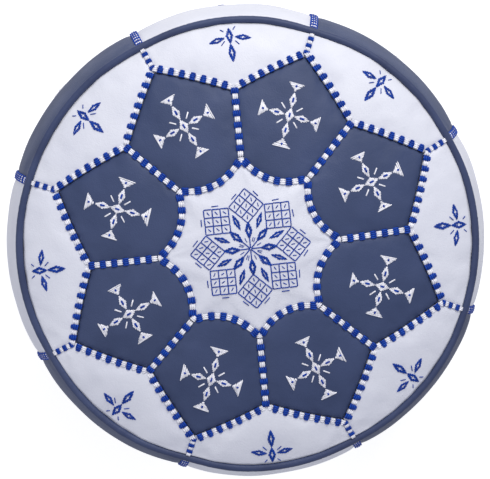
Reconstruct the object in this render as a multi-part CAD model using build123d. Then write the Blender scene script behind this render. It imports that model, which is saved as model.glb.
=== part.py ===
from build123d import *
import math
import os

# Round leather pouf: a drum of sewn leather panels, stuffed tight, that sits flat on the floor.
# The top is a patchwork of one medallion, eight petals and eight rim panels, the wall has eight
# panels, and the base has two halves with a zip between them. Plaits of silk thread cover the
# seams of the top and the wall, and a leather piping runs round both edges of the wall.
# Millimetres, +Z up, the origin at the middle of the base, and the zip along X.

# Driving dimensions of the stuffed pouf
BELLY_RADIUS = 260.0  # the widest point of the wall
BELLY_HEIGHT = 157.0
WALL_ARC_RADIUS = 312.0  # how roundly the wall bulges between its two edges
CROWN_HEIGHT = 320.0
TOP_RIM_RADIUS = 229.2  # where the top leather meets the piping
TOP_RIM_HEIGHT = 285.5
BASE_RIM_RADIUS = 219.9
LEATHER = 1.6
SEAM_GAP = 0.6  # between the cut edges of two panels
SECTORS = 8
SECTOR = 360 / SECTORS
MIDWAY = 200.0  # a height between the base and the top panels
ABOVE = 340.0  # clear above the crown
BEYOND = 300.0  # clear outside the wall

# Patchwork of the top, as radii of its seams in plan
MEDALLION_POINT = 92.0  # where two petals and the medallion meet
MEDALLION_WAIST = 73.0  # the medallion between two points
PETAL_SHOULDER = 161.0  # where two petals and a rim panel meet
PETAL_TIP = 204.0  # where a petal meets the seam between two rim panels

# Thread plaits
PLAIT_WIDTH = 7.0
PLAIT_HEIGHT = 2.4
PLAIT_CLEARANCE = 0.15
PLAIT_END = 3.6  # each plait stops this far short of a junction of seams

# Piping: a cord in a strip of leather, whose flange is sewn between two panels
PIPING_RADIUS = 4.2
PIPING_LEATHER = 1.0
PIPING_CORD_RADIUS = 3.1
PIPING_FLANGE = 8.0  # from the cord's centre
PIPING_FLANGE_THICKNESS = 1.6
TOP_PIPING = (233.6, 284.0)  # radius and height of the cord's centre
BASE_PIPING = (224.3, 6.5)
WALL_TOP = 279.5
WALL_BOTTOM = 11.0

# Inner bag and stuffing. The bag's edges are rounder than the leather's, clear of the piping.
BAG_GAP = 2.5
BAG_CLOTH = 0.8
BAG_CORNER = 62.0
BAG_SEAM_TOP = 255.0
BAG_SEAM_BASE = 32.0
STUFFING_GAP = 0.2

# Base, and the channel pressed up into it along the zip, which keeps the slider off the floor
BASE_BEVEL = 4.0
CHANNEL_LENGTH = 382.0  # of its flat top, as is the width
CHANNEL_WIDTH = 35.0
CHANNEL_RISE = 7.4
CHANNEL_TAPER = 66.0  # its sides lean this far from upright
BAG_LIFT = 0.5  # the bag stands this much higher over the zip than elsewhere

# Zip
ZIP_HALF_LENGTH = 178.0
ZIP_SLOT_WIDTH = 13.0
ZIP_SLOT_END = 4.0  # the slot in the leather runs this far past the zip
CHAIN_GAP = 1.2  # room for the slider's neck
TAPE_WIDTH = 14.4
TAPE_THICKNESS = 0.6
COIL_WIDTH = 2.6
COIL_HEIGHT = 2.2
STOP_LENGTH = 2.0
STOP_INSET = 1.5  # from the end of the tape to a stop's middle
STOP_BEVEL = 0.4
TAPE_FLOOR = CHANNEL_RISE + LEATHER + 0.1  # the tape lies on the leather's inner face
COIL_FLOOR = TAPE_FLOOR - COIL_HEIGHT
TAPE_TOP = TAPE_FLOOR + TAPE_THICKNESS

# Slider and pull
SLIDER_LENGTH = 13.0
SLIDER_WIDTH = 9.6
SLIDER_PLATE = 1.1
SLIDER_CLEARANCE = 0.2
SLIDER_CORNER = 2.6
NECK_WIDTH = 0.8
NECK_LENGTH = 3.5
FLANGE_WIDTH = 1.1
BRIDGE_WIDTH = 2.4
BRIDGE_LENGTH = 7.2
BRIDGE_BAR = 1.2
PULL_THICKNESS = 1.2
PULL_LENGTH = 24.0
PULL_WIDTH = 7.0
PULL_ARM_INSIDE = 1.5
PULL_ARM_WIDTH = 1.2
PULL_PLATE_START = 5.0
PULL_CORNER = 2.4
PULL_EYE_RADIUS = 1.6
PULL_EYE_INSET = 4.5
BRIDGE_BEVEL = 0.5
ROOT = 0.4  # how far one block of the slider or pull runs into the next


def polar(radius, degrees):
    """The plan point at a radius and an angle."""
    return (radius * math.cos(math.radians(degrees)), radius * math.sin(math.radians(degrees)))


def export(shape, node):
    export_step(shape, f"parts/{node}.step")


# The dome of the top is part of a sphere through its crown and its rim.
dome_rise = CROWN_HEIGHT - TOP_RIM_HEIGHT
dome_radius = (TOP_RIM_RADIUS**2 + dome_rise**2) / (2 * dome_rise)
dome_centre = CROWN_HEIGHT - dome_radius
wall_centre = BELLY_RADIUS - WALL_ARC_RADIUS


def wall_radius(height, inset=0.0):
    """The wall's radius at a height, inset by so much from its outer face."""
    return wall_centre + math.sqrt((WALL_ARC_RADIUS - inset) ** 2 - (height - BELLY_HEIGHT) ** 2)


def section(low, high, inner_radius, outer_radius):
    """A rectangle of the half section, between two heights and two radii."""
    size = Rectangle(outer_radius - inner_radius, high - low)
    return Pos((inner_radius + outer_radius) / 2, (low + high) / 2) * size


def dome_disc(inset):
    return Pos(0, dome_centre) * Circle(dome_radius - inset)


def wall_disc(inset):
    return Pos(wall_centre, BELLY_HEIGHT) * Circle(WALL_ARC_RADIUS - inset)


def turned(face, degrees=360.0):
    """A half section, drawn as radius and height, turned about Z."""
    return revolve(Plane.XZ * face, Axis.Z, degrees)


def dome_layer(outer, inner, radius):
    """A layer of the top between two insets from the outer face, out to a plan radius."""
    face = (dome_disc(outer) - dome_disc(inner)) & section(MIDWAY, ABOVE, 0, radius)
    return turned(face)


def channel(rise):
    """The channel in the base, as high as this and as wide on top as it always is."""
    run = rise * math.tan(math.radians(CHANNEL_TAPER))
    outline = SlotOverall(CHANNEL_LENGTH + 2 * run, CHANNEL_WIDTH + 2 * run)
    return extrude(outline, rise, taper=CHANNEL_TAPER)


def stuffed_form(inset, corner):
    """The whole stuffed form, inset from its outer face, with its two edges rounded."""
    face = dome_disc(inset) & wall_disc(inset) & section(inset, ABOVE, 0, BEYOND)
    edges = [v for v in face.vertices() if v.X > BASE_RIM_RADIUS / 2]
    return turned(fillet(edges, corner)) - channel(CHANNEL_RISE + inset + BAG_LIFT)


def prism(outline):
    """A plan outline as a prism through the whole top."""
    return extrude(Pos(0, 0, MIDWAY) * outline, ABOVE - MIDWAY)


def at_angle(shape, degrees):
    return Rot(0, 0, degrees) * shape


# Panels of the top. Seams between petals lie at multiples of 45 degrees, and the petals'
# middles half way between them.
top_leather = dome_layer(0, LEATHER, TOP_RIM_RADIUS)


def medallion_outline():
    edges = [
        ThreePointArc(
            polar(MEDALLION_POINT, k * SECTOR),
            polar(MEDALLION_WAIST, (k + 0.5) * SECTOR),
            polar(MEDALLION_POINT, (k + 1) * SECTOR),
        )
        for k in range(SECTORS)
    ]
    return make_face(edges)


def petal_outline():
    half = SECTOR / 2
    corners = [
        polar(MEDALLION_POINT, -half),
        polar(PETAL_SHOULDER, -half),
        polar(PETAL_TIP, 0),
        polar(PETAL_SHOULDER, half),
        polar(MEDALLION_POINT, half),
    ]
    inner = ThreePointArc(corners[-1], polar(MEDALLION_WAIST, 0), corners[0])
    return make_face([Polyline(*corners), inner])


def rim_panel_outline():
    half = SECTOR / 2
    corners = [
        polar(PETAL_SHOULDER, 0),
        polar(PETAL_TIP, half),
        polar(BEYOND, half),
        polar(BEYOND, -half),
        polar(PETAL_TIP, -half),
    ]
    return make_face(Polyline(*corners, close=True))


def cut_panel(outline):
    return top_leather & prism(offset(outline, -SEAM_GAP / 2))


medallion = cut_panel(medallion_outline())
petal = cut_panel(petal_outline())
rim_panel = cut_panel(rim_panel_outline())

# Wall panels, one for each sector between two petal tips
wall_leather = wall_disc(0) - wall_disc(LEATHER)
wall_leather &= section(WALL_BOTTOM, WALL_TOP, BASE_RIM_RADIUS / 2, BEYOND)
gap_angle = math.degrees(SEAM_GAP / BELLY_RADIUS)
wall_panel = turned(wall_leather, SECTOR - gap_angle)
wall_panel = at_angle(wall_panel, -(SECTOR - gap_angle) / 2)

# Plaits over the seams
plait_layer = dome_layer(
    -PLAIT_CLEARANCE - PLAIT_HEIGHT, -PLAIT_CLEARANCE, TOP_RIM_RADIUS - PLAIT_CLEARANCE
)


def straight_plait(start, end):
    """The outline of a plait between two junctions of seams."""
    (x0, y0), (x1, y1) = start, end
    length = math.hypot(x1 - x0, y1 - y0) - 2 * PLAIT_END
    angle = math.degrees(math.atan2(y1 - y0, x1 - x0))
    outline = Rot(0, 0, angle) * SlotOverall(length, PLAIT_WIDTH)
    return Pos((x0 + x1) / 2, (y0 + y1) / 2) * outline


def around(outline):
    """Copies of an outline, one for each sector."""
    return Sketch() + [at_angle(outline, k * SECTOR) for k in range(SECTORS)]


def plaits(outlines):
    return plait_layer & prism(outlines)


medallion_arc = ThreePointArc(
    polar(MEDALLION_POINT, 0),
    polar(MEDALLION_WAIST, SECTOR / 2),
    polar(MEDALLION_POINT, SECTOR),
)
arc_trim = (PLAIT_END + PLAIT_WIDTH / 2) / medallion_arc.length
medallion_arc = medallion_arc.trim(arc_trim, 1 - arc_trim)
medallion_plait = plaits(around(SlotArc(medallion_arc, PLAIT_WIDTH)))
petal_joint_plait = plaits(
    around(straight_plait(polar(MEDALLION_POINT, 0), polar(PETAL_SHOULDER, 0)))
)
petal_edges = [
    straight_plait(polar(PETAL_SHOULDER, side * SECTOR / 2), polar(PETAL_TIP, 0))
    for side in (-1, 1)
]
petal_edge_plait = plaits(around(at_angle(Sketch() + petal_edges, SECTOR / 2)))
rim_joint_plait = plaits(
    around(at_angle(straight_plait(polar(PETAL_TIP, 0), polar(TOP_RIM_RADIUS, 0)), SECTOR / 2))
)

# The wall's plaits stop short of both pipings.
plait_section = wall_disc(-PLAIT_CLEARANCE - PLAIT_HEIGHT) - wall_disc(-PLAIT_CLEARANCE)
plait_section &= section(
    WALL_BOTTOM + PLAIT_WIDTH, WALL_TOP - PLAIT_WIDTH, BASE_RIM_RADIUS / 2, BEYOND
)
plait_angle = math.degrees(PLAIT_WIDTH / BELLY_RADIUS)
wall_plait = at_angle(turned(plait_section, plait_angle), -plait_angle / 2)
wall_joint_plait = Compound(
    [at_angle(wall_plait, (k + 0.5) * SECTOR) for k in range(SECTORS)]
)


# Piping
def piping_cover(centre, flange_direction):
    """A leather tube round the cord, with its flange running inwards from it."""
    flange = Pos(-PIPING_FLANGE / 2, 0) * Rectangle(PIPING_FLANGE, PIPING_FLANGE_THICKNESS)
    face = Circle(PIPING_RADIUS) + Rot(0, 0, flange_direction) * flange
    face -= Circle(PIPING_RADIUS - PIPING_LEATHER)
    return turned(Pos(*centre) * face)


def piping_cord(centre):
    return turned(Pos(*centre) * Circle(PIPING_CORD_RADIUS))


# Inner bag and stuffing
bag_inset = LEATHER + BAG_GAP
stuffing_inset = bag_inset + BAG_CLOTH + STUFFING_GAP
bag = stuffed_form(bag_inset, BAG_CORNER)
bag -= stuffed_form(bag_inset + BAG_CLOTH, BAG_CORNER - BAG_CLOTH)
stuffing = stuffed_form(stuffing_inset, BAG_CORNER - BAG_CLOTH - STUFFING_GAP)


def slice_between(shape, low, high):
    """The part of a shape between two heights."""
    height = high - low
    block = Pos(0, 0, low + height / 2) * Box(2 * CROWN_HEIGHT, 2 * CROWN_HEIGHT, height)
    return shape & block


# Base: a flat foot with a raised edge and the channel, halved along the zip
def base_foot(inset):
    """The base's foot, inset from its outer face."""
    face = section(inset, BASE_PIPING[1], 0, BASE_RIM_RADIUS - inset)
    corner = [v for v in face.vertices() if v.X > 1 and v.Y < inset + 0.1]
    return turned(chamfer(corner, BASE_BEVEL - inset / 2))


def base_leather():
    pressed = channel(CHANNEL_RISE + LEATHER) - channel(CHANNEL_RISE)
    foot = base_foot(0) - base_foot(LEATHER)
    slot = SlotOverall(2 * (ZIP_HALF_LENGTH + ZIP_SLOT_END), ZIP_SLOT_WIDTH)
    return foot - channel(CHANNEL_RISE + LEATHER) + pressed - extrude(slot, 2 * CHANNEL_RISE)


def half_space(side):
    """Everything on one side of the zip's middle line: -1 for the front, 1 for the rear."""
    size = 2 * BELLY_RADIUS
    return Pos(0, side * (size + SEAM_GAP) / 2, 0) * Box(size, size, size)


base = base_leather()


# Zip
def zip_strip(side, inside, width, floor, height, half_length):
    """A straight strip of the zip, on one side of its middle line."""
    centre = Pos(0, side * (inside + width / 2), floor + height / 2)
    return centre * Box(2 * half_length, width, height)


def zip_tape(side):
    return zip_strip(side, CHAIN_GAP / 2, TAPE_WIDTH, TAPE_FLOOR, TAPE_THICKNESS, ZIP_HALF_LENGTH)


def zip_coil(side):
    half = stop_face - SLIDER_CLEARANCE
    return zip_strip(side, CHAIN_GAP / 2, COIL_WIDTH, COIL_FLOOR, COIL_HEIGHT, half)


def stop(x, y, width):
    """A small clamp at the end of the coils."""
    block = Box(STOP_LENGTH, width, COIL_HEIGHT)
    block = fillet(block.edges() | Axis.X, STOP_BEVEL)
    return Pos(x, y, COIL_FLOOR + COIL_HEIGHT / 2) * block


stop_middle = ZIP_HALF_LENGTH - STOP_INSET
stop_face = stop_middle - STOP_LENGTH / 2
coil_middle = (CHAIN_GAP + COIL_WIDTH) / 2
top_stops = Compound([stop(stop_middle, side * coil_middle, COIL_WIDTH) for side in (-1, 1)])
bottom_stop = stop(-stop_middle, 0, 2 * COIL_WIDTH + CHAIN_GAP)


# Slider: two plates round the chain, joined by the neck that runs between the coils. The
# plate on the outside, which faces the floor, has side flanges and the bridge for the pull.
slider_rest = stop_face - SLIDER_CLEARANCE - SLIDER_LENGTH / 2  # with the zip closed
outer_plate_top = COIL_FLOOR - SLIDER_CLEARANCE
outer_plate_bottom = outer_plate_top - SLIDER_PLATE
inner_plate_bottom = TAPE_TOP + SLIDER_CLEARANCE
pivot_height = outer_plate_bottom - PULL_THICKNESS / 2 - SLIDER_CLEARANCE
bridge_top = pivot_height - PULL_THICKNESS / 2 - SLIDER_CLEARANCE / 2


def slider_plate(bottom):
    plate = Pos(0, 0, bottom + SLIDER_PLATE / 2) * Box(SLIDER_LENGTH, SLIDER_WIDTH, SLIDER_PLATE)
    return fillet(plate.edges() | Axis.Z, SLIDER_CORNER)


def slider():
    outer = slider_plate(outer_plate_bottom)
    inner = slider_plate(inner_plate_bottom)
    rise = inner_plate_bottom - outer_plate_top
    neck = Box(NECK_LENGTH, NECK_WIDTH, rise + 2 * ROOT)
    neck_x = (SLIDER_LENGTH - NECK_LENGTH) / 2 - ROOT
    made = outer + inner + Pos(neck_x, 0, outer_plate_top + rise / 2) * neck
    flange_height = TAPE_FLOOR - SLIDER_CLEARANCE - outer_plate_top
    flange = Box(SLIDER_LENGTH - 2 * SLIDER_CORNER, FLANGE_WIDTH, flange_height + ROOT)
    flange_y = (SLIDER_WIDTH - FLANGE_WIDTH) / 2
    for side in (-1, 1):
        made += Pos(0, side * flange_y, outer_plate_top + (flange_height - ROOT) / 2) * flange
    drop = outer_plate_bottom - bridge_top + BRIDGE_BAR
    arch = Box(BRIDGE_LENGTH, BRIDGE_WIDTH, drop + ROOT)
    arch = fillet(arch.edges() | Axis.Y, BRIDGE_BEVEL)
    arch = Pos(0, 0, outer_plate_bottom - (drop - ROOT) / 2) * arch
    window_height = outer_plate_bottom - bridge_top
    window = Box(BRIDGE_LENGTH - 2 * BRIDGE_BAR, 2 * BRIDGE_WIDTH, window_height)
    arch -= Pos(0, 0, bridge_top + window_height / 2) * window
    return Pos(slider_rest, 0, 0) * (made + arch)


def pull():
    """A flat tab with two arms and a round bar between them, which turns in the bridge."""
    made = Rot(90, 0, 0) * Cylinder(PULL_THICKNESS / 2, 2 * (PULL_ARM_INSIDE + PULL_ARM_WIDTH))
    arm_length = PULL_PLATE_START + ROOT
    arm = Box(arm_length, PULL_ARM_WIDTH, PULL_THICKNESS)
    for side in (-1, 1):
        made += Pos(-arm_length / 2, side * (PULL_ARM_INSIDE + PULL_ARM_WIDTH / 2), 0) * arm
    plate_length = PULL_LENGTH - PULL_PLATE_START
    plate = Box(plate_length, PULL_WIDTH, PULL_THICKNESS)
    plate = fillet(plate.edges() | Axis.Z, PULL_CORNER)
    eye = Cylinder(PULL_EYE_RADIUS, 2 * PULL_THICKNESS)
    plate -= Pos(PULL_EYE_INSET - plate_length / 2, 0, 0) * eye
    made += Pos(-PULL_PLATE_START - plate_length / 2, 0, 0) * plate
    return Pos(slider_rest, 0, pivot_height) * made


os.makedirs("parts", exist_ok=True)
export(medallion, "medallion")
for k in range(SECTORS):
    export(at_angle(petal, (k + 0.5) * SECTOR), f"petal_{k + 1}")
    export(at_angle(rim_panel, k * SECTOR), f"rim_panel_{k + 1}")
    export(at_angle(wall_panel, k * SECTOR), f"wall_panel_{k + 1}")
export(medallion_plait, "medallion_plait")
export(petal_joint_plait, "petal_joint_plait")
export(petal_edge_plait, "petal_edge_plait")
export(rim_joint_plait, "rim_joint_plait")
export(wall_joint_plait, "wall_joint_plait")
export(piping_cover(TOP_PIPING, 45), "top_piping_cover")
export(piping_cord(TOP_PIPING), "top_piping_cord")
export(piping_cover(BASE_PIPING, -35), "base_piping_cover")
export(piping_cord(BASE_PIPING), "base_piping_cord")
export(slice_between(bag, BAG_SEAM_TOP, CROWN_HEIGHT), "bag_top")
export(slice_between(bag, BAG_SEAM_BASE, BAG_SEAM_TOP - SEAM_GAP), "bag_wall")
export(slice_between(bag, 0, BAG_SEAM_BASE - SEAM_GAP), "bag_base")
export(stuffing, "stuffing")
for side, place in ((-1, "front"), (1, "rear")):
    export(base & half_space(side), f"base_panel_{place}")
    export(zip_tape(side), f"zip_tape_{place}")
    export(zip_coil(side), f"zip_coil_{place}")
export(top_stops, "zip_top_stops")
export(bottom_stop, "zip_bottom_stop")
export(slider(), "zip_slider")
export(pull(), "zip_pull")
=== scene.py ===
import math
import random

import bmesh
import bpy
from mathutils import Matrix, Vector, noise
from mathutils.bvhtree import BVHTree
from mathutils.kdtree import KDTree


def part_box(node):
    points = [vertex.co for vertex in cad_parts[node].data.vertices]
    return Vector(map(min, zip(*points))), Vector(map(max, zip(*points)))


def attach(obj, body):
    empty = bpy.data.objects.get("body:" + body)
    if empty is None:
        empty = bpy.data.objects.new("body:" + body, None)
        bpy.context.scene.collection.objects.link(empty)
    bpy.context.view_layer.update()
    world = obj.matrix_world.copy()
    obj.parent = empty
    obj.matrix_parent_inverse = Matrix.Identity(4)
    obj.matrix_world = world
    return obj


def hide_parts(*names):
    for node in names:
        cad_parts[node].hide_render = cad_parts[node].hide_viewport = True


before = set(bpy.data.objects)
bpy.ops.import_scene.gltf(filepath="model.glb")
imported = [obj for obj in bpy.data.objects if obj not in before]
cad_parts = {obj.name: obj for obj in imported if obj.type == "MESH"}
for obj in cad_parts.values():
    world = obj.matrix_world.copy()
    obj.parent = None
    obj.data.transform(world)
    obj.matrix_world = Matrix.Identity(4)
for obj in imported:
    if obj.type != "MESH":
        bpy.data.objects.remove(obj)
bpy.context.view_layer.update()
scene = bpy.context.scene
scene.view_settings.view_transform = "Standard"

# ---------------------------------------------------------------------------
# Camera: a long lens almost straight above the pouf, leaning a little off its axis, as for a
# catalogue picture of the embroidered top.
# ---------------------------------------------------------------------------
camera_lens = 114.1
camera_distance = 1.714
camera_aim = Vector((-0.0015, 0.0019, 0.17))
camera_lean = math.radians(3.2)
camera_lean_toward = math.radians(111.9)
picture_turn = math.radians(-6.15)  # the picture's right, as an angle in plan

away = Vector((0, 0, 1))
away.rotate(Matrix.Rotation(camera_lean, 3, "Y"))
away.rotate(Matrix.Rotation(camera_lean_toward, 3, "Z"))
picture_right = Vector((math.cos(picture_turn), math.sin(picture_turn), 0))
picture_right = (picture_right - picture_right.dot(away) * away).normalized()
picture_up = away.cross(picture_right)
camera_data = bpy.data.cameras.new("camera")
camera_data.lens = camera_lens
camera_data.sensor_width = 36
camera_data.clip_start = 0.05
camera_data.clip_end = 50
camera = bpy.data.objects.new("camera", camera_data)
camera.matrix_world = Matrix.Translation(camera_aim + camera_distance * away) @ (
    Matrix((picture_right, picture_up, away)).transposed().to_4x4()
)
scene.collection.objects.link(camera)
scene.camera = camera

# ---------------------------------------------------------------------------
# Studio: a white floor, an even white surround, a large soft box on the far side of the pouf
# and a weaker one to the left.
# ---------------------------------------------------------------------------
floor_half = 14.0
floor_seen_glow = 0.45  # the glow that makes it white to the eye alone
floor_glow = 0.3  # and the glow that lights the pouf as well


def made(shape, name):
    """Turns a finished bmesh into a mesh."""
    mesh = bpy.data.meshes.new(name)
    shape.to_mesh(mesh)
    shape.free()
    return mesh


def placed(name, data):
    """Puts an object into the scene, at the origin."""
    item = bpy.data.objects.new(name, data)
    scene.collection.objects.link(item)
    return item


def finish(name, roughness):
    """A new material, with what its own section needs to build it."""
    material = bpy.data.materials.new(name)
    material.use_nodes = True
    shader = material.node_tree.nodes["Principled BSDF"]
    shader.inputs["Roughness"].default_value = roughness
    return material, shader, material.node_tree.nodes.new, material.node_tree.links.new


floor_sheet = bmesh.new()
bmesh.ops.create_grid(floor_sheet, x_segments=1, y_segments=1, size=floor_half)
floor = placed("floor", made(floor_sheet, "floor"))
paper, floor_shader, make, link = finish("studio_floor", 0.9)
floor_shader.inputs["Base Color"].default_value = (0.5, 0.5, 0.51, 1)
floor_shader.inputs["Emission Color"].default_value = (1, 1, 1, 1)
glow = make("ShaderNodeMath")
glow.operation = "MULTIPLY_ADD"
glow.inputs[1].default_value = floor_seen_glow
glow.inputs[2].default_value = floor_glow
link(make("ShaderNodeLightPath").outputs["Is Camera Ray"], glow.inputs[0])
link(glow.outputs[0], floor_shader.inputs["Emission Strength"])
floor.data.materials.append(paper)

surround = bpy.data.worlds.new("surround")
surround.use_nodes = True
surround.node_tree.nodes["Background"].inputs["Color"].default_value = (0.86, 0.88, 1.0, 1)
surround.node_tree.nodes["Background"].inputs["Strength"].default_value = 0.57
scene.world = surround


def soft_box(name, place, size, watts):
    """A square area light that faces the middle of the pouf's top."""
    data = bpy.data.lights.new(name, "AREA")
    data.energy = watts
    data.size = size
    data.color = (1.0, 0.98, 0.94)
    box = placed(name, data)
    box.location = place
    box.rotation_euler = (Vector(place) - Vector((0, 0, 0.3))).to_track_quat("Z", "Y").to_euler()


soft_box("far_box", (0.5, 1.4, 1.5), 1.2, 27)
soft_box("near_box", (-0.9, -0.2, 1.6), 1.6, 4)

# ---------------------------------------------------------------------------
# Leather cover: goatskin panels, sewn edge to edge with their seams turned in, over a tight
# stuffing. The whole cover is shaped at once, sewn lines held and the leather blown out
# between them, and then parted along its seams into one piece for each panel.
# ---------------------------------------------------------------------------
sectors = 8
sector = math.tau / sectors
medallion_point = 0.092
medallion_waist = 0.073
petal_shoulder = 0.161
petal_tip = 0.204
rim_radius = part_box("rim_panel_1")[1].x + 0.0012
rim_height = 0.2855
crown_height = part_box("medallion")[1].z
belly_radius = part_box("wall_panel_1")[1].x
belly_height = 0.157
wall_arc = 0.312
wall_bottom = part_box("wall_panel_1")[0].z
wall_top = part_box("wall_panel_1")[1].z
leather_thickness = 0.0016
seam_depth = 0.0022
seam_reach = 0.0035
cells_across = 32  # along each petal's inner edge, and along the top of a wall panel
cells_joint = 24  # along a seam between two petals
cells_rim = 12  # along a seam between two rim panels
cells_wall = 46  # up a wall panel
hand_slip = 0.0013  # how far a junction of seams strays from the pattern
hand_sway = 0.0011
oval_mean = -0.0005  # how much wider than its pattern the top was sewn, all round
oval_half = 0.0018  # and how much more than that along its longer way, or less across it
rim_offset = Vector((-0.0010, 0.0015))  # how far the rim was sewn off the pattern's centre
pinch_mean = 0.0014  # how far each seam between two rim panels pulls the rim in
pinch_half = 0.0010
pinch_width = math.radians(9)

dome_rise = crown_height - rim_height
dome_radius = (rim_radius**2 + dome_rise**2) / (2 * dome_rise)
cut = random.Random(7)


def plan(radius, angle):
    return Vector((radius * math.cos(angle), radius * math.sin(angle)))


def junctions(radius, turn):
    """One junction of seams in each sector, each a little out of place."""
    return [
        plan(radius, (k + turn) * sector)
        + Vector((cut.uniform(-hand_slip, hand_slip), cut.uniform(-hand_slip, hand_slip)))
        for k in range(sectors)
    ]


points = junctions(medallion_point, 0)
shoulders = junctions(petal_shoulder, 0)
tips = junctions(petal_tip, 0.5)


def line(start, end, bulge=0.0):
    """A seam from start to end, bowed to its right by bulge at the middle."""
    side = Vector((end.y - start.y, start.x - end.x)).normalized()
    return lambda s: start.lerp(end, s) + side * (bulge * 4 * s * (1 - s))


def reverse(seam):
    return lambda s: seam(1 - s)


def chain(first, second):
    return lambda s: first(2 * s) if s < 0.5 else second(2 * s - 1)


def rim_sway(angle):
    """How far the top's rim, sewn by hand, strays from a circle."""
    stray = hand_sway * noise.noise(Vector((2 * math.cos(angle), 2 * math.sin(angle), 9.0)))
    oval = oval_mean + oval_half * math.cos(2 * (angle - picture_turn))
    from_seam = (angle / sector) % 1 - 0.5
    pull = pinch_mean + pinch_half * math.cos(2 * (angle - 1.5 * sector))
    aside = rim_offset.dot(plan(1.0, angle))
    return stray + oval + aside - pull * math.exp(-((from_seam * sector / pinch_width) ** 2))


def rim_point(angle):
    return plan(rim_radius + rim_sway(angle), angle)


def rim_arc(start, end):
    return lambda s: rim_point(start + (end - start) * s)


scallop = medallion_point * math.cos(sector / 2) - medallion_waist
medallion_seams = [line(points[k], points[(k + 1) % 8], -scallop) for k in range(sectors)]
joint_seams = [line(points[k], shoulders[k]) for k in range(sectors)]
petal_bow = 0.0012
left_seams = [line(shoulders[k], tips[k], petal_bow) for k in range(sectors)]
right_seams = [line(shoulders[(k + 1) % 8], tips[k], -petal_bow) for k in range(sectors)]
rim_seams = [line(tips[k], rim_point((k + 0.5) * sector)) for k in range(sectors)]


def dome(point):
    """The top's plain form: the point of the dome over a point in plan."""
    height = crown_height - dome_radius + math.sqrt(dome_radius**2 - point.length_squared)
    return Vector((point.x, point.y, height))


def wall_share(height):
    """How much of the rim's sway the wall has at a height: none at its foot, all at its top."""
    share = (height - wall_bottom) / (wall_top - wall_bottom)
    return math.sqrt(min(1.0, max(0.0, share)))


def wall(angle, height):
    """The wall's plain form, as an angle in plan and a height."""
    radius = belly_radius - wall_arc + math.sqrt(wall_arc**2 - (height - belly_height) ** 2)
    flat = plan(radius + rim_sway(angle) * wall_share(height), angle)
    return Vector((flat.x, flat.y, height))


def between(below, above, left, right):
    """The patch of leather between four seams, which meet at its corners."""

    def place(s, t):
        level = below(s).lerp(above(s), t) + left(t).lerp(right(t), s)
        corners = below(0).lerp(below(1), s).lerp(above(0).lerp(above(1), s), t)
        return level - corners

    return place


def add_panel(cover, across, up, place, number):
    """Adds one panel's grid to the cover, its faces numbered and its edges marked as sewn."""
    piece = bmesh.new()
    bmesh.ops.create_grid(piece, x_segments=across, y_segments=up, size=1)
    sewn = piece.verts.layers.deform.verify()
    for vert in piece.verts:
        if vert.is_boundary:
            vert[sewn][0] = 1.0
        vert.co = place((vert.co.x + 1) / 2, (vert.co.y + 1) / 2)
    for face in piece.faces:
        face.material_index = number
        face.smooth = True
    mesh = made(piece, "piece")
    cover.from_mesh(mesh)
    bpy.data.meshes.remove(mesh)


def on_dome(patch):
    return lambda s, t: dome(patch(s, t))


cover = bmesh.new()
panel_names = []
pairs = [chain(medallion_seams[k], medallion_seams[(k + 1) % 8]) for k in range(sectors)]
add_panel(
    cover,
    2 * cells_across,
    2 * cells_across,
    on_dome(between(pairs[5], reverse(pairs[1]), reverse(pairs[3]), pairs[7])),
    0,
)
panel_names.append("medallion")
for k in range(sectors):
    after = (k + 1) % 8
    crest = chain(right_seams[k], reverse(left_seams[k]))
    petal = between(reverse(medallion_seams[k]), crest, joint_seams[after], joint_seams[k])
    add_panel(cover, cells_across, cells_joint, on_dome(petal), len(panel_names))
    panel_names.append(f"petal_{k + 1}")
for k in range(sectors):
    before = (k - 1) % 8
    foot = chain(reverse(left_seams[k]), right_seams[before])
    head = rim_arc((k + 0.5) * sector, (k - 0.5) * sector)
    rim_panel = between(foot, head, rim_seams[k], rim_seams[before])
    add_panel(cover, cells_across, cells_rim, on_dome(rim_panel), len(panel_names))
    panel_names.append(f"rim_panel_{k + 1}")
for k in range(sectors):
    start = (k - 0.5) * sector
    add_panel(
        cover,
        cells_across,
        cells_wall,
        lambda s, t: wall(start + s * sector, wall_bottom + (wall_top - wall_bottom) * t),
        len(panel_names),
    )
    panel_names.append(f"wall_panel_{k + 1}")
bmesh.ops.remove_doubles(cover, verts=cover.verts, dist=1e-5)
sewn = cover.verts.layers.deform.verify()
seam_tree = KDTree(len(cover.verts))
for vert in cover.verts:
    if 0 in vert[sewn]:
        seam_tree.insert(vert.co, vert.index)
seam_tree.balance()
cover.normal_update()
for vert, out in [(vert, vert.normal.copy()) for vert in cover.verts]:
    nearest = seam_tree.find(vert.co)[2]
    vert[sewn][0] = 1.0 if nearest < 1e-6 else 0.0
    from_rim = rim_point(math.atan2(vert.co.y, vert.co.x)).length - vert.co.xy.length
    flush = min(1.0, 0.35 + abs(from_rim) / 0.01) if out.z > 0.7 else 1.0
    vert.co -= out * (seam_depth * flush * math.exp(-((nearest / seam_reach) ** 2)))
cover_object = placed("cover", made(cover, "cover"))
cover_object.vertex_groups.new(name="sewn")


def as_mesh(maker):
    """The mesh that a curve, or a mesh with its modifiers, comes to. The maker is then removed."""
    depsgraph = bpy.context.evaluated_depsgraph_get()
    mesh = bpy.data.meshes.new_from_object(maker.evaluated_get(depsgraph))
    bpy.data.objects.remove(maker)
    return mesh



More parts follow.
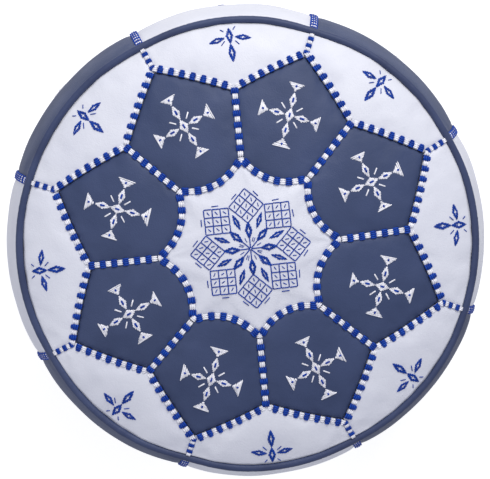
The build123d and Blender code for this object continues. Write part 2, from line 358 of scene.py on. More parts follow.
leather_spare = 0.004  # how much more leather there is than the plain form needs
stuffing_steps = 20
cloth = cover_object.modifiers.new("stuffing", "CLOTH")
cloth.settings.vertex_group_mass = "sewn"
cloth.settings.mass = 0.4
cloth.settings.quality = 6
cloth.settings.tension_stiffness = 60
cloth.settings.compression_stiffness = 60
cloth.settings.shear_stiffness = 30
cloth.settings.bending_stiffness = 4
cloth.settings.use_pressure = True
cloth.settings.uniform_pressure_force = 3
cloth.settings.shrink_min = -leather_spare
cloth.settings.effector_weights.gravity = 0
cloth.collision_settings.use_collision = False
cloth.point_cache.frame_end = stuffing_steps
for step in range(1, stuffing_steps + 1):
    scene.frame_set(step)
stuffed_mesh = as_mesh(cover_object)
scene.frame_set(1)
lump_height = 0.0007
gather_height = 0.0011
gather_reach = 0.022
for vert in stuffed_mesh.vertices:
    level = vert.co.xy.normalized()
    gather = noise.noise(Vector((level.x * 15, level.y * 15, 2.0)))
    from_top = math.hypot(vert.co.xy.length - rim_radius, vert.co.z - rim_height)
    from_base = abs(vert.co.z - wall_bottom)
    near_edge = math.exp(-min(from_top, from_base) / gather_reach)
    push = lump_height * noise.noise(vert.co * 24) + gather_height * gather * near_edge
    vert.co += vert.normal * push
leather_face = bmesh.new()
leather_face.from_mesh(stuffed_mesh)
leather_tree = BVHTree.FromBMesh(leather_face)
leather_face.free()


def leather_nodes(group_name="goatskin"):
    """The grain and mottle that all the leather shares."""
    group = bpy.data.node_groups.new(group_name, "ShaderNodeTree")
    group.interface.new_socket("Fineness", in_out="INPUT", socket_type="NodeSocketFloat")
    group.interface.new_socket("Grain", in_out="OUTPUT", socket_type="NodeSocketFloat")
    group.interface.new_socket("Mottle", in_out="OUTPUT", socket_type="NodeSocketFloat")
    make, link = group.nodes.new, group.links.new
    into, out = make("NodeGroupInput"), make("NodeGroupOutput")
    place = make("ShaderNodeTexCoord")
    pores = make("ShaderNodeTexVoronoi")
    pores.feature = "SMOOTH_F1"
    folds = make("ShaderNodeTexNoise")
    folds.inputs["Detail"].default_value = 5
    times = make("ShaderNodeMath")
    times.operation = "MULTIPLY"
    times.inputs[1].default_value = 0.25
    mottle = make("ShaderNodeTexNoise")
    mottle.inputs["Scale"].default_value = 22
    mottle.inputs["Detail"].default_value = 4
    both = make("ShaderNodeMath")
    both.operation = "MULTIPLY_ADD"
    both.inputs[1].default_value = 0.6
    link(place.outputs["Object"], pores.inputs["Vector"])
    link(place.outputs["Object"], folds.inputs["Vector"])
    link(place.outputs["Object"], mottle.inputs["Vector"])
    link(into.outputs["Fineness"], pores.inputs["Scale"])
    link(into.outputs["Fineness"], times.inputs[0])
    link(times.outputs[0], folds.inputs["Scale"])
    link(pores.outputs["Distance"], both.inputs[0])
    link(folds.outputs["Fac"], both.inputs[2])
    link(both.outputs[0], out.inputs["Grain"])
    link(mottle.outputs["Fac"], out.inputs["Mottle"])
    return group


goatskin = leather_nodes()
grain_fineness = 900


def shade(shader, make, link, share, dark, light, low=0.0, high=1.0):
    """Colours a finish from its dark shade to its light one, as a share goes from low to high."""
    ramp = make("ShaderNodeValToRGB")
    for end, colour, position in zip(ramp.color_ramp.elements, (dark, light), (low, high)):
        end.color = (*colour, 1)
        end.position = position
    link(share, ramp.inputs["Fac"])
    link(ramp.outputs["Color"], shader.inputs["Base Color"])


def polish(shader, make, link, share, rough, smooth):
    """Makes a finish smoother as a share goes from none to all."""
    level = make("ShaderNodeMapRange")
    level.inputs["To Min"].default_value = rough
    level.inputs["To Max"].default_value = smooth
    link(share, level.inputs["Value"])
    link(level.outputs["Result"], shader.inputs["Roughness"])


def emboss(shader, make, link, height, strength, depth):
    """Gives a finish a fine relief, of a depth in metres."""
    bump = make("ShaderNodeBump")
    bump.inputs["Strength"].default_value = strength
    bump.inputs["Distance"].default_value = depth
    link(height, bump.inputs["Height"])
    link(bump.outputs["Normal"], shader.inputs["Normal"])


def leather(name, light, dark, roughness, relief):
    """A leather from its lighter and darker shades, with its grain as a bump."""
    material, shader, make, link = finish(name, roughness)
    shader.inputs["Specular IOR Level"].default_value = 0.3
    skin = make("ShaderNodeGroup")
    skin.node_tree = goatskin
    skin.inputs["Fineness"].default_value = grain_fineness
    shade(shader, make, link, skin.outputs["Mottle"], dark, light, 0.3, 0.7)
    polish(shader, make, link, skin.outputs["Mottle"], roughness + 0.08, roughness - 0.08)
    emboss(shader, make, link, skin.outputs["Grain"], 0.6, relief)
    return material


white_leather = leather("white_leather", (0.72, 0.735, 0.80), (0.66, 0.675, 0.75), 0.5, 0.0004)
navy_leather = leather("navy_leather", (0.046, 0.067, 0.150), (0.034, 0.052, 0.120), 0.55, 0.0004)


def shown(name, mesh, material, slot, *replaced):
    """Puts a finished mesh into the scene as a piece of the pouf's body."""
    mesh.name = name
    mesh.materials.clear()
    mesh.materials.append(material)
    piece = placed(name + "_looks", mesh)
    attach(piece, "pouf")
    if replaced:
        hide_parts(*replaced)
    return piece


seam_opening = 0.00015  # from a seam's middle line to the edge of the leather
for number, name in enumerate(panel_names):
    piece = bmesh.new()
    piece.from_mesh(stuffed_mesh)
    others = [face for face in piece.faces if face.material_index != number]
    bmesh.ops.delete(piece, geom=others, context="FACES")
    centre = sum((vert.co for vert in piece.verts), Vector()) / len(piece.verts)
    for vert in piece.verts:
        if vert.is_boundary:
            vert.co += (centre - vert.co).normalized() * seam_opening
    for face in piece.faces:
        face.material_index = 0
    mesh = made(piece, name)
    is_navy = name.startswith("petal") or name in [f"wall_panel_{k}" for k in (2, 4, 6, 8)]
    skin, slot = (navy_leather, "navy_leather") if is_navy else (white_leather, "white_leather")
    panel = shown(name, mesh, skin, slot, name)
    thickness = panel.modifiers.new("thickness", "SOLIDIFY")
    thickness.thickness = leather_thickness
    thickness.offset = -1
    thickness.edge_crease_outer = thickness.edge_crease_rim = 0.8
    rounding = panel.modifiers.new("rounding", "SUBSURF")
    rounding.levels = rounding.render_levels = 1
bpy.data.meshes.remove(stuffed_mesh)


def on_top(point):
    """The place on the top's leather over a point in plan, and the way out from it."""
    place, _, _, _ = leather_tree.ray_cast(Vector((point.x, point.y, 0.5)), Vector((0, 0, -1)))
    smooth = dome(point) - Vector((0, 0, crown_height - dome_radius))
    return place, smooth.normalized()


def on_wall(angle, height):
    """The place on the wall's leather at an angle and a height, and the way out from it."""
    level = plan(1.0, angle)
    start = Vector((level.x * 0.5, level.y * 0.5, height))
    place, _, _, _ = leather_tree.ray_cast(start, Vector((-level.x, -level.y, 0)))
    lean = (height - belly_height) / wall_arc
    smooth = Vector((level.x, level.y, 0)) * math.sqrt(1 - lean**2) + Vector((0, 0, lean))
    return place, smooth


# ---------------------------------------------------------------------------
# Plaits: every seam of the top and the wall is covered by silk, in short bundles of blue and
# white in turn. Each bundle is a few strands that run along the seam, side by side, and dive
# into the leather at both ends.
# ---------------------------------------------------------------------------
silk_slip = random.Random(11)


def mottled(make, link, scale, detail):
    """An uneven share over a finish, in patches that are smaller as the scale goes up."""
    patches = make("ShaderNodeTexNoise")
    patches.inputs["Scale"].default_value = scale
    patches.inputs["Detail"].default_value = detail
    link(make("ShaderNodeTexCoord").outputs["Object"], patches.inputs["Vector"])
    return patches.outputs["Fac"]


def silk(name, colour, glow, roughness):
    """Rayon thread: fine fibres along each strand, and a soft shine."""
    material, shader, make, link = finish(name, roughness)
    shader.inputs["Specular IOR Level"].default_value = 0.3
    dark = [part * 0.8 for part in colour]
    shade(shader, make, link, mottled(make, link, 260, 3), dark, glow, 0.3, 0.7)
    emboss(shader, make, link, mottled(make, link, 2600, 2), 0.5, 0.0002)
    return material


silks = {
    "blue": silk("blue_silk", (0.0, 0.032, 0.30), (0.0, 0.056, 0.40), 0.55),
    "white": silk("white_silk", (0.90, 0.90, 0.96), (0.93, 0.93, 0.98), 0.5),
}


def spool(name, sides):
    """An empty curve to lay strands on, with its radii in millimetres."""
    curve = bpy.data.curves.new(name, "CURVE")
    curve.dimensions = "3D"
    curve.bevel_depth = 0.001
    curve.bevel_resolution = sides
    curve.use_fill_caps = True
    return curve


def lay(curve, path, radii):
    """Lays one strand along a path, with the radius that it has at each point."""
    strand = curve.splines.new("POLY")
    strand.points.add(len(path) - 1)
    for point, place, radius in zip(strand.points, path, radii):
        point.co = (*place, 1)
        point.radius = radius
    strand.use_smooth = True


def wound(curve, name, colour, *replaced):
    """Makes the strands on a curve into one piece of thread work."""
    mesh = as_mesh(placed(name, curve))
    mesh.shade_smooth()
    return shown(name, mesh, silks[colour], colour + "_silk", *replaced)


# Along a strand: how far from its middle, how high on its rise, and how thick
strand_marks = (
    (-0.5, -0.9, 0.55),
    (-0.36, 0.45, 0.92),
    (0, 1, 1),
    (0.36, 0.45, 0.92),
    (0.5, -0.9, 0.55),
)
strand_packing = 0.92
short_outside, short_inside = 0.5, 0.14  # how much shorter the strands at a bundle's sides are


def bundle(curve, place, out, along, length, strands, shift, radius, rise):
    """One bundle of the plait, at a place on the leather, its strands side by side."""
    side = along.cross(out).normalized()
    width = 2 * radius * strand_packing
    for strand in range(strands):
        offset = (strand - (strands - 1) / 2) * width
        share = offset / (width * strands / 2)
        crest = rise * math.sqrt(max(0.0, 1 - 0.8 * share**2))
        start = place + side * ((shift + offset) / 1000) + out * 0.0002
        reach = length * (1 - (short_outside if share * shift > 0 else short_inside) * share**2)
        path, radii = [], []
        for t, lift, girth in strand_marks:
            slip = silk_slip.uniform(-0.08, 0.08)
            up, across = (lift * crest + slip) / 1000, slip / 1000
            path.append(start + along * (t * reach) + out * up + side * across)
            radii.append(radius * girth)
        lay(curve, path, radii)


plait_looks = {
    "blue": {"strands": 4, "length": 1.12, "rise": 1.35, "radius": 1.08},
    "white": {"strands": 3, "length": 1.0, "rise": 0.8, "radius": 1.0},
}


def plait(
    spools, seam, surface, count, first, last, colours, shift=0.0, edge=0.0, girth=1.0, flat=1.0
):
    """Covers a seam with bundles at equal steps, in two colours by turns from its start."""
    for step in range(first, last + 1):
        colour = colours[step % 2]
        looks = plait_looks[colour]
        s = step / count
        place, out = surface(seam(s))
        ahead, _ = surface(seam(s + 0.01))
        behind, _ = surface(seam(s - 0.01))
        pitch = (ahead - behind).length / (0.02 * count)
        along = (ahead - behind).normalized()
        along = (along - along.dot(out) * out).normalized()
        offset = shift + math.copysign(edge * (0.5 if colour == "white" else 1.0), shift)
        bundle(
            spools[colour],
            place + out * (seam_depth * 0.6),
            out,
            along,
            pitch * looks["length"],
            looks["strands"],
            offset,
            looks["radius"] * girth,
            looks["rise"] * girth * flat,
        )


def plait_group(node, layer):
    """Plaits every seam of one kind in both colours, and puts them in the node's place."""
    spools = {colour: spool(f"{node}_{colour}", 2) for colour in silks}
    layer(spools)
    for colour in silks:
        wound(spools[colour], f"{node}_{colour}", colour, node)


def plait_medallion(spools):
    for k in range(sectors):
        plait(spools, medallion_seams[k], on_top, 12, 1, 11, ("white", "blue"))
        place, out = on_top(points[k] * 0.973)
        ring = Vector((-points[k].y, points[k].x, 0)).normalized()
        bundle(spools["white"], place + out * 0.0012, out, ring, 0.0062, 3, 0, 1.0, 0.9)


def plait_joints(spools):
    for seam in joint_seams:
        plait(spools, reverse(seam), on_top, 11.7, 0, 11, ("blue", "white"))


def plait_edges(spools):
    for k in range(sectors):
        plait(spools, left_seams[k], on_top, 15, 1, 15, ("blue", "white"), 2.2, 0.7)
        plait(spools, right_seams[k], on_top, 15, 1, 14, ("blue", "white"), -2.2, 0.7)


def plait_rim(spools):
    for seam in rim_seams:
        plait(spools, seam, on_top, 6.4, 1, 6, ("white", "blue"), girth=0.78)


def plait_wall(spools):
    low, high = wall_bottom + 0.004, wall_top - 0.003
    for k in range(sectors):
        angle = (k + 0.5) * sector
        plait(
            spools,
            lambda s: Vector((angle, low + (high - low) * s)),
            lambda point: on_wall(point.x, point.y),
            46,
            1,
            45,
            ("white", "blue"),
            girth=1.08,
            flat=1.15,
        )


plait_group("medallion_plait", plait_medallion)
plait_group("petal_joint_plait", plait_joints)
plait_group("petal_edge_plait", plait_edges)
plait_group("rim_joint_plait", plait_rim)
plait_group("wall_joint_plait", plait_wall)

# ---------------------------------------------------------------------------
# Embroidery on the medallion: a flower of eight chequered squares and sixteen leaves, sewn
# through the leather in single blue threads, the leaves in satin stitch round an open eye.
# ---------------------------------------------------------------------------
needle = random.Random(23)
line_thread = 0.58
satin_overlap = 1.15
thread_dive = 1.5  # a stitch goes down into the leather over this many thread radii
square_side = 24.8
square_reach = 43.4
cell = square_side / 3


def top_ground(centre, turn):
    """Local millimetres on the top: x along a direction in plan, and y to its left."""
    along, across = plan(0.001, turn), plan(0.001, turn + math.pi / 2)
    return lambda point: on_top(centre + along * point.x + across * point.y)


def stitch(curve, ground, start, end, radius, slip=0.2, raised=0.0):
    """One stitch between two needle holes, in local millimetres."""
    start = start + Vector((needle.uniform(-slip, slip), needle.uniform(-slip, slip)))
    end = end + Vector((needle.uniform(-slip, slip), needle.uniform(-slip, slip)))
    length = max((end - start).length, 0.1)
    dive = min(0.3, thread_dive * radius / length)
    runs = max(1, round(length / 4))
    marks = [dive + (1 - 2 * dive) * run / runs for run in range(runs + 1)]
    path, radii = [], []
    for s, lift in [(0, -0.9)] + [(mark, 0.55) for mark in marks] + [(1, -0.9)]:
        place, out = ground(start.lerp(end, s))
        path.append(place + out * ((lift * radius + raised) / 1000))
        radii.append(radius * (0.7 if lift < 0 else 1.0))
    lay(curve, path, radii)


def leaf(curve, ground, start, end, width, rows, fullness, eye=0.0):
    """A pointed leaf of satin stitches that lie along it, round an eye of bare leather."""
    middle, half = start.lerp(end, 0.5), (end - start).length / 2
    along = (end - start).normalized()
    side = Vector((-along.y, along.x))
    radius = width / rows / 2 * satin_overlap
    for row in range(rows):
        share = (row + 0.5) / rows * 2 - 1
        reach = half * (1 - abs(share) ** fullness)
        centre = middle + side * (share * width / 2)
        gap = half * 0.32 * (1 - abs(share) / eye) if abs(share) < eye else 0
        if gap:
            stitch(curve, ground, centre - along * reach, centre - along * gap, radius)
            stitch(curve, ground, centre + along * gap, centre + along * reach, radius)
        else:
            stitch(curve, ground, centre - along * reach, centre + along * reach, radius)


def arm(length, turn):
    """A point in local millimetres, at a distance and an angle from the middle."""
    return Vector((length * math.cos(turn), length * math.sin(turn)))


medallion_threads = spool("medallion_embroidery", 1)
medallion_ground = top_ground(Vector((0, 0)), 0)
for k in range(sectors):
    turn = k * sector
    ground = top_ground(plan(square_reach / 1000, turn), turn + math.pi / 4)
    for rule in range(4):
        across = (rule - 1.5) * cell
        for step in range(3):
            low, high = (step - 1.5) * cell, (step - 0.5) * cell
            for start, end in (((low, across), (high, across)), ((across, low), (across, high))):
                stitch(medallion_threads, ground, Vector(start), Vector(end), line_thread)
    for column in range(-1, 2):
        for row in range(-1, 2):
            middle = Vector((column * cell, row * cell))
            dash = arm(2.1, -math.pi / 4 + needle.uniform(-0.25, 0.25))
            stitch(medallion_threads, ground, middle - dash, middle + dash, 0.5)
    outside = square_side / 2 + 3.2
    for end, dash in (((outside, 0.5), (0, 4)), ((0.5, -outside), (4, 0))):
        end, dash = Vector(end), Vector(dash)
        stitch(medallion_threads, ground, end - dash, end + dash, 0.52, 0.5)
    stitch(medallion_threads, medallion_ground, arm(0.6, turn), arm(11, turn), line_thread)
    leaf(medallion_threads, medallion_ground, arm(9.8, turn), arm(27.4, turn), 7.4, 9, 1.5, 0.28)
    turn += sector / 2
    leaf(medallion_threads, medallion_ground, arm(21.2, turn), arm(38.6, turn), 5.3, 7, 1.5, 0.2)
    for lean in (-0.09, 0.09) if k % 2 else (0.02,):
        ray = arm(1, turn + lean)
        stitch(medallion_threads, medallion_ground, ray * 7, ray * 12.2, 0.42)
wound(medallion_threads, "medallion_embroidery", "blue")

# ---------------------------------------------------------------------------
# Embroidery on the petals: a white satin-stitch cross of four leaves, each with a triangle
# beyond it, and a short blue stitch laid over the middle of every shape.
# ---------------------------------------------------------------------------
petal_motif_reach = 0.140
petal_motif_slip = random.Random(31)


def triangle(curve, ground, apex, base, width, rows):
    """A triangle of satin stitches that lie along its base."""
    axis = base - apex
    side = Vector((-axis.y, axis.x)).normalized()
    radius = axis.length / rows / 2 * satin_overlap
    for row in range(rows):
        share = (row + 0.5) / rows
        centre, half = apex.lerp(base, share), side * (width / 2 * max(share, 0.12))
        stitch(curve, ground, centre - half, centre + half, radius, 0.35)


def cross(white, blue, ground, size):
    """The white cross, its first arm along x."""

    def sized(x, y):
        return Vector((x * size, y * size))

    def mark(middle, along, half):
        for lean in (-0.4, 0.4):
            beside = Vector((-along.y, along.x)) * (lean * size)
            start, end = middle - along * half + beside, middle + along * half + beside
            stitch(blue, ground, start, end, 0.56 * size, 0.1, 0.7)

    leaf(white, ground, sized(-7.8, 0), sized(7.8, 0), 9.6 * size, 9, 1.1)
    mark(Vector((0, 0)), Vector((1, 0)), 2.5 * size)
    for quarter in range(4):
        turn = quarter * math.pi / 2 + petal_motif_slip.uniform(-0.05, 0.05)
        near = 7.4 if quarter % 2 == 0 else 5.0
        far = near + 16.6
        peak = far + 0.8
        foot = peak + 8.6
        along = arm(1, turn)
        leaf(white, ground, along * near * size, along * far * size, 7.2 * size, 8, 1.2)
        mark(along * ((near + far) / 2 * size), along, 2.6 * size)
        width = petal_motif_slip.uniform(16.5, 20)
        triangle(white, ground, along * peak * size, along * foot * size, width * size, 8)
        mark(along * ((peak + foot * 1.6) / 2.6 * size), along, 1.4 * size)
        ray = arm(1, turn + math.pi / 4)
        for lean in (-0.3, 0.3):
            beside = Vector((-ray.y, ray.x)) * lean
            start, end = (ray * 8 + beside) * size, (ray * 15.4 + beside) * size
            stitch(white, ground, start, end, 0.42 * size, 0.1)


petal_white, petal_blue = spool("petal_embroidery_white", 1), spool("petal_embroidery_blue", 1)
for k in range(sectors):
    turn = (k + 0.5) * sector
    lean = petal_motif_slip.uniform(-0.05, 0.05)
    cross(petal_white, petal_blue, top_ground(plan(petal_motif_reach, turn), turn + lean), 1.0)
wound(petal_white, "petal_embroidery_white", "white")
wound(petal_blue, "petal_embroidery_blue", "blue")

# ---------------------------------------------------------------------------
# Embroidery on the rim panels: a blue flower close to the piping, of a diamond and three
# leaves in satin stitch with open eyes, and four rays between them.
# ---------------------------------------------------------------------------
rim_motif_reach = 0.2165


def flower(curve, ground, size, leaves):
    """The blue flower, its diamond along x and its leaves at these ends of each."""
    leaf(curve, ground, Vector((-8.6 * size, 0)), Vector((8.6 * size, 0)), 7.8 * size, 9, 1.3, 0.28)
    for near, far, width in leaves:
        leaf(curve, ground, Vector(near) * size, Vector(far) * size, width * size, 9, 1.5, 0.28)
    for quarter in range(4):
        turn = (quarter + 0.5) * math.pi / 2 + needle.uniform(-0.12, 0.12)
        reach = 13.5 if quarter in (1, 2) else 11.5
        stitch(curve, ground, arm(7.2 * size, turn), arm(reach * size, turn), 0.52 * size)


rim_leaves = (
    ((-1.6, 5.0), (-5.2, 21.8), 6.2),
    ((-1.6, -5.0), (-5.2, -21.8), 6.2),
    ((-8.0, 0.0), (-27.4, 0.0), 7.5),
)
rim_threads = spool("rim_embroidery", 1)
for k in range(sectors):
    turn = k * sector + needle.uniform(-0.01, 0.01)
    lean = needle.uniform(-0.07, 0.07)
    flower(rim_threads, top_ground(plan(rim_motif_reach, turn), turn + lean), 1.0, rim_leaves)
wound(rim_threads, "rim_embroidery", "blue")

# ---------------------------------------------------------------------------
# Embroidery on the wall: the petals' white cross on the navy panels and the rim's flower,
# larger and with a fourth leaf, on the white ones.
# ---------------------------------------------------------------------------
wall_motif_height = 0.138
wall_leaves = (
    ((0.0, 5.0), (0.0, 22.6), 6.8),
    ((0.0, -5.0), (0.0, -22.6), 6.8),
    ((-8.2, 0.0), (-27.0, 0.0), 7.5),
    ((8.2, 0.0), (27.0, 0.0), 7.5),
)


def wall_ground(turn, height):
    """Local millimetres on the wall: x up it, and y round it."""
    return lambda point: on_wall(turn + point.y / 1000 / belly_radius, height + point.x / 1000)


wall_white, wall_blue = spool("wall_embroidery_white", 1), spool("wall_embroidery_blue", 1)
for k in range(sectors):
    ground = wall_ground(k * sector, wall_motif_height)
    if k % 2:
        cross(wall_white, wall_blue, ground, 1.1)
    else:
        flower(wall_blue, ground, 1.25, wall_leaves)
wound(wall_white, "wall_embroidery_white", "white")
wound(wall_blue, "wall_embroidery_blue", "blue")

# ---------------------------------------------------------------------------
# Piping: a strip of navy leather folded round a cotton cord, one run sewn between the top and
# the wall and one between the wall and the base. Each strip overlaps itself at one joint.
# ---------------------------------------------------------------------------
piping_radius = 0.0038
piping_leather = leather(
    "piping_leather", (0.047, 0.066, 0.146), (0.032, 0.045, 0.106), 0.5, 0.0003
)
piping_steps = 720
piping_sides = 14
joint_length = 0.009


def swept_round(tube, steps):
    """Takes an outline, drawn beside +X, once round the pouf."""
    bmesh.ops.spin(
        tube,
        geom=tube.verts[:] + tube.edges[:],
        cent=(0, 0, 0),
        axis=(0, 0, 1),
        angle=math.tau,
        steps=steps,
        use_merge=True,
    )
    bmesh.ops.recalc_face_normals(tube, faces=tube.faces)


def piping(node, ring_radius, height, flange_turn, joint_angle, swaying):
    """A leather tube round the pouf, with its flange turned in between the panels."""
    tube = bmesh.new()
    bmesh.ops.create_circle(tube, segments=piping_sides, radius=piping_radius)
    strip = bmesh.ops.create_circle(tube, segments=4, radius=math.sqrt(0.5))["verts"]
    bmesh.ops.rotate(tube, verts=strip, matrix=Matrix.Rotation(math.pi / 4, 3, "Z"))
    bmesh.ops.scale(tube, verts=strip, vec=(0.0045, 0.0014, 1))
    bmesh.ops.translate(tube, verts=strip, vec=(-0.0059, 0, 0))
    bmesh.ops.rotate(tube, verts=strip, matrix=Matrix.Rotation(flange_turn, 3, "Z"))
    bmesh.ops.rotate(tube, verts=tube.verts, matrix=Matrix.Rotation(math.pi / 2, 3, "X"))
    bmesh.ops.translate(tube, verts=tube.verts, vec=(ring_radius, 0, height))
    swept_round(tube, piping_steps)
    for vert in tube.verts:
        angle = math.atan2(vert.co.y, vert.co.x)
        arc = angle * ring_radius
        plain = Vector((math.cos(angle), math.sin(angle), 0))
        core = plain * ring_radius + Vector((0, 0, height))
        out = vert.co - core
        sway = plain * (swaying * rim_sway(angle))
        if out.length > 1.05 * piping_radius:
            vert.co += sway
            continue
        lap = (angle - joint_angle) * ring_radius / joint_length
        wrinkle = noise.noise(Vector((plain.x * 90, plain.y * 90, out.z * 260)))
        pinch = noise.noise(Vector((arc * 420, out.z * 90, 4.0)))
        grow = 1 + 0.05 * wrinkle + 0.035 * pinch
        if 0 < lap < 1:
            grow += 0.09 * min(1, 6 * lap, 6 * (1 - lap))
        vert.co = core + sway + out * grow
    mesh = made(tube, node)
    mesh.shade_smooth()
    shown(node, mesh, piping_leather, "piping_leather", node)


top_piping_ring = rim_radius + piping_radius - 0.0004
top_piping_height = 0.284
base_piping_ring = 0.2243
base_piping_height = 0.0065
piping("top_piping_cover", top_piping_ring, top_piping_height, math.radians(45), -2.3, 1.0)
piping("base_piping_cover", base_piping_ring, base_piping_height, math.radians(-35), 0.9, 0.0)

# The cord inside each piping: soft cotton, twisted from three strands
cotton_cord, cord_shader, make, link = finish("cotton_cord", 0.9)
twist = make("ShaderNodeTexWave")
twist.bands_direction = "DIAGONAL"
twist.inputs["Scale"].default_value = 120
twist.inputs["Distortion"].default_value = 2
link(make("ShaderNodeTexCoord").outputs["Object"], twist.inputs["Vector"])
shade(cord_shader, make, link, twist.outputs["Fac"], (0.46, 0.41, 0.30), (0.66, 0.60, 0.46))
emboss(cord_shader, make, link, twist.outputs["Fac"], 1.0, 0.0006)


def finished(material, *nodes):
    """Gives CAD nodes that keep their own shape their finish."""
    for node in nodes:
        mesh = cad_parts[node].data
        mesh.materials.clear()
        mesh.materials.append(material)


cord_radius = 0.0031
cord_strands = 3
cord_lay = 0.014  # the length of one turn of its strands


def cord(node, radius, ring_radius, height, swaying):
    """The twisted cord in a piping: one surface, grooved between its strands."""
    tube = bmesh.new()
    bmesh.ops.create_circle(tube, segments=12, radius=radius)
    bmesh.ops.rotate(tube, verts=tube.verts, matrix=Matrix.Rotation(math.pi / 2, 3, "X"))
    bmesh.ops.translate(tube, verts=tube.verts, vec=(ring_radius, 0, height))
    swept_round(tube, piping_steps)
    turns = round(math.tau * ring_radius / cord_lay)
    for vert in tube.verts:
        angle = math.atan2(vert.co.y, vert.co.x)
        plain = Vector((math.cos(angle), math.sin(angle), 0))
        core = plain * ring_radius + Vector((0, 0, height))
        out = vert.co - core
        round_cord = math.atan2(out.z, out.dot(plain))
        groove = abs(math.cos((round_cord * cord_strands + turns * angle) / 2))
        vert.co = core + plain * (swaying * rim_sway(angle)) + out * (0.8 + 0.2 * math.sqrt(groove))
    mesh = made(tube, node)
    mesh.shade_smooth()
    shown(node, mesh, cotton_cord, "piping_cord", node)


cord("top_piping_cord", cord_radius, top_piping_ring, top_piping_height, 1.0)
cord("base_piping_cord", cord_radius, base_piping_ring, base_piping_height, 0.0)

# ---------------------------------------------------------------------------
# Base: two halves of plain navy leather that meet at the zip. The leather is pressed up into
# a channel along the zip, and gathers a little where its edge is sewn to the piping.
# ---------------------------------------------------------------------------
base_leather = leather("base_leather", (0.064, 0.080, 0.155), (0.044, 0.057, 0.118), 0.58, 0.0005)
base_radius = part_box("base_panel_rear")[1].x
slot_half = 0.0065
channel_half = 0.191
channel_half_width = 0.0175
channel_rise = 0.0074
channel_run = 0.0166
edge_bevel = 0.0042
edge_rise = 0.0054
base_gathers = 84  # folds of leather round its edge
base_gather_height = 0.00045
base_gather_reach = 0.014
base_sag = 0.0006
base_columns = 150
base_rows = 64


def eased(share):
    share = min(1.0, max(0.0, share))
    return share * share * (3 - 2 * share)


def base_height(x, y):
    """The height of the leather's outer face above the floor."""
    straight = channel_half - channel_half_width
    outside = math.hypot(max(0.0, abs(x) - straight), y) - channel_half_width
    height = channel_rise * (1 - eased(outside / channel_run))
    inward = base_radius - math.hypot(x, y)
    height += edge_rise * (1 - eased(inward / (2.2 * edge_bevel)))
    waver = 3 * noise.noise(Vector((x * 20, y * 20, 1)))
    gather = math.cos(base_gathers * math.atan2(y, x) + waver)
    near_edge = math.exp(-inward / base_gather_reach) * eased(inward / 0.004)
    height += base_gather_height * (1 + gather) * near_edge
    sag = base_sag * (1 + noise.noise(Vector((x * 28, y * 28, 5))))
    return height + sag * eased(inward / 0.02) * eased(outside / 0.03)


for side, place in ((-1, "front"), (1, "rear")):
    half = bmesh.new()
    bmesh.ops.create_grid(half, x_segments=base_columns, y_segments=base_rows, size=1)
    far_x = math.sqrt(base_radius**2 - slot_half**2)
    for vert in half.verts:
        x = far_x * math.sin(vert.co.x * math.pi / 2)
        share = (vert.co.y + 1) / 2
        deep = math.sqrt(max(0, base_radius**2 - x * x)) - slot_half
        crowd = share * (0.55 + 0.45 * share) if deep > 0.05 else share
        y = slot_half + deep * crowd
        vert.co = Vector((x, side * y, base_height(x, y)))
    slot_ends = [v for v in half.verts if abs(v.co.x) > 0.182 and abs(v.co.y) < 0.0066]
    for vert in slot_ends:
        vert.co.y = side * 0.0004
    bmesh.ops.remove_doubles(half, verts=half.verts, dist=1e-6)
    bmesh.ops.recalc_face_normals(half, faces=half.faces)
    if sum(face.normal.z for face in half.faces) > 0:
        bmesh.ops.reverse_faces(half, faces=half.faces)
    node = f"base_panel_{place}"
    mesh = made(half, node)
    mesh.shade_smooth()
    panel = shown(node, mesh, base_leather, "base_leather", node)
    thickness = panel.modifiers.new("thickness", "SOLIDIFY")
    thickness.thickness = leather_thickness
    thickness.offset = -1

# The stitching that holds each tape to the leather beside the slot
zip_stitches = 118
zip_stitch_pitch = 0.003
zip_seam_start = -0.177
zip_seam_beside = 0.0092  # from the zip's middle line
zip_seam = spool("zip_stitching", 1)
for side in (-1, 1):
    for step in range(zip_stitches):
        x = zip_seam_start + step * zip_stitch_pitch
        path = []
        for along, lift in ((0.0, 0.0006), (0.0004, -0.0002), (0.0018, -0.0002), (0.0022, 0.0006)):
            path.append(Vector((x + along, side * zip_seam_beside, channel_rise + lift)))
        lay(zip_seam, path, [0.3] * 4)
wound(zip_seam, "zip_stitching", "blue")

# ---------------------------------------------------------------------------
# Zip: two woven tapes, each with a moulded nylon coil along its inner edge, metal stops at
# the ends, and a brass slider with a hinged pull that hangs under the base.
# ---------------------------------------------------------------------------
coil_pitch = 0.00150
coil_half = 0.1750
coil_wire = 0.30
nylon, nylon_shader, make, link = finish("nylon_coil", 0.38)
tone = mottled(make, link, 400, 2)
shade(nylon_shader, make, link, tone, (0.010, 0.015, 0.045), (0.022, 0.032, 0.085))

for side, place in ((-1, "front"), (1, "rear")):
    node = f"zip_coil_{place}"
    coil = spool(node, 0)
    first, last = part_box(node)
    inner, outer = sorted((abs(first.y), abs(last.y)))
    across = (inner - 0.0002, inner + 0.0006, outer - 0.0006, outer - 0.0003)
    levels = (first.z + 0.0003, (first.z + last.z) / 2, last.z - 0.0003)
    turns = int(2 * (coil_half - 0.001) / coil_pitch)
    for turn in range(turns):
        x = -coil_half + 0.001 + (turn + (0.5 if side > 0 else 0)) * coil_pitch
        ring = [
            (across[0], levels[1]), (across[1], levels[0]), (across[2], levels[0]),
            (across[3], levels[1]), (across[2], levels[2]), (across[1], levels[2]),
        ]
        loop = coil.splines.new("POLY")
        loop.points.add(len(ring) - 1)
        for point, (y, z) in zip(loop.points, ring):
            shear = 0.0003 if z > levels[1] else 0.0
            point.co = (x + shear, side * y, z, 1)
            point.radius = coil_wire
        loop.use_cyclic_u = True
    mesh = as_mesh(placed("coil", coil))
    mesh.shade_smooth()
    shown(node, mesh, nylon, "zip_coil", node)


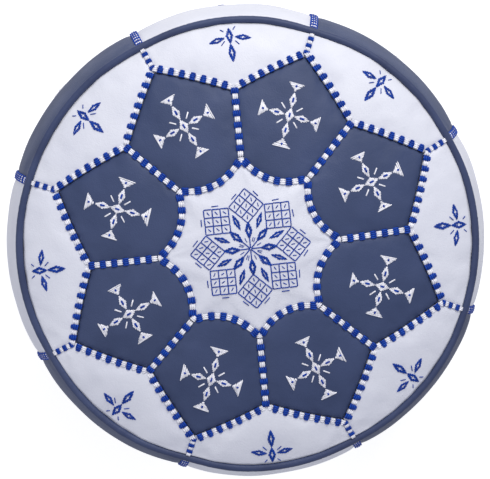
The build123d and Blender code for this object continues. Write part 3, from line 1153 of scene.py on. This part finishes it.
def weave_nodes():
    """The crossed threads that all the woven cloth shares, from its threads to a metre."""
    group = bpy.data.node_groups.new("plain_weave", "ShaderNodeTree")
    group.interface.new_socket("Count", in_out="INPUT", socket_type="NodeSocketFloat")
    group.interface.new_socket("Height", in_out="OUTPUT", socket_type="NodeSocketFloat")
    make, link = group.nodes.new, group.links.new
    into, out = make("NodeGroupInput"), make("NodeGroupOutput")
    place = make("ShaderNodeTexCoord")
    heights = []
    for direction in ("X", "Y", "Z"):
        threads = make("ShaderNodeTexWave")
        threads.bands_direction = direction
        link(place.outputs["Object"], threads.inputs["Vector"])
        link(into.outputs["Count"], threads.inputs["Scale"])
        heights.append(threads.outputs["Fac"])
    first = make("ShaderNodeMath")
    first.operation = "MULTIPLY"
    second = make("ShaderNodeMath")
    second.operation = "MAXIMUM"
    link(heights[0], first.inputs[0])
    link(heights[1], first.inputs[1])
    link(first.outputs[0], second.inputs[0])
    link(heights[2], second.inputs[1])
    link(second.outputs[0], out.inputs["Height"])
    return group


plain_weave = weave_nodes()


def cloth(name, light, dark, count, roughness):
    """A woven cloth from its shades and how fine its threads are."""
    material, shader, make, link = finish(name, roughness)
    shader.inputs["Sheen Weight"].default_value = 0.2
    weave = make("ShaderNodeGroup")
    weave.node_tree = plain_weave
    weave.inputs["Count"].default_value = count
    shade(shader, make, link, weave.outputs["Height"], dark, light)
    emboss(shader, make, link, weave.outputs["Height"], 0.5, 0.0002)
    return material


finished(
    cloth("zip_tape", (0.016, 0.024, 0.060), (0.006, 0.010, 0.030), 320, 0.8),
    "zip_tape_front",
    "zip_tape_rear",
)

brass, brass_shader, make, link = finish("worn_brass", 0.4)
brass_shader.inputs["Metallic"].default_value = 1
wear = mottled(make, link, 240, 6)
shade(brass_shader, make, link, wear, (0.21, 0.14, 0.055), (0.52, 0.36, 0.14), 0.35, 0.6)
polish(brass_shader, make, link, wear, 0.55, 0.25)
emboss(brass_shader, make, link, wear, 0.15, 0.0001)
finished(brass, "zip_top_stops", "zip_bottom_stop", "zip_slider", "zip_pull")

# ---------------------------------------------------------------------------
# Inner bag and stuffing: a plain cotton bag, sewn shut, packed hard with cotton and offcuts
# of cloth, so that its filling stands in lumps against the bag.
# ---------------------------------------------------------------------------
bag_cotton = cloth("bag_cotton", (0.62, 0.57, 0.47), (0.44, 0.40, 0.31), 180, 0.9)


def settled(point):
    """Moves a point of the bag or its filling to stay under the cover, which isn't quite round."""
    angle = math.atan2(point.y, point.x)
    reach = min(1.0, point.xy.length / rim_radius) ** 4
    return point + (rim_sway(angle) * wall_share(point.z) * reach) * plan(1.0, angle).to_3d()


for node in ("bag_top", "bag_wall", "bag_base"):
    layer = bmesh.new()
    layer.from_mesh(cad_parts[node].data)
    bmesh.ops.remove_doubles(layer, verts=layer.verts, dist=1e-6)
    for vert in layer.verts:
        vert.co = settled(vert.co)
    shown(node, made(layer, node), bag_cotton, "bag_cloth", node)

lump_depth = 0.004
packed = bmesh.new()
packed.from_mesh(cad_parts["stuffing"].data)
bmesh.ops.remove_doubles(packed, verts=packed.verts, dist=1e-6)
packed_object = placed("packing", made(packed, "stuffing"))
voxels = packed_object.modifiers.new("voxels", "REMESH")
voxels.voxel_size = 0.006
packed_mesh = as_mesh(packed_object)
for vert in packed_mesh.vertices:
    dent = 0.5 + 0.5 * noise.noise(vert.co * 34) + 0.3 * noise.noise(vert.co * 90)
    vert.co = settled(vert.co - vert.normal * (lump_depth * max(0.0, dent)))
packed_mesh.shade_smooth()

offcuts, offcut_shader, make, link = finish("cotton_offcuts", 0.95)
offcut_shader.inputs["Sheen Weight"].default_value = 0.3
scraps = make("ShaderNodeTexVoronoi")
scraps.inputs["Scale"].default_value = 38
link(make("ShaderNodeTexCoord").outputs["Object"], scraps.inputs["Vector"])
offcut_shades = (0.66, 0.62, 0.52), (0.40, 0.42, 0.46)
shade(offcut_shader, make, link, scraps.outputs["Distance"], *offcut_shades)
emboss(offcut_shader, make, link, mottled(make, link, 500, 2), 1.0, 0.001)
filling = shown("stuffing", packed_mesh, offcuts, "stuffing", "stuffing")

bpy.context.view_layer.update()
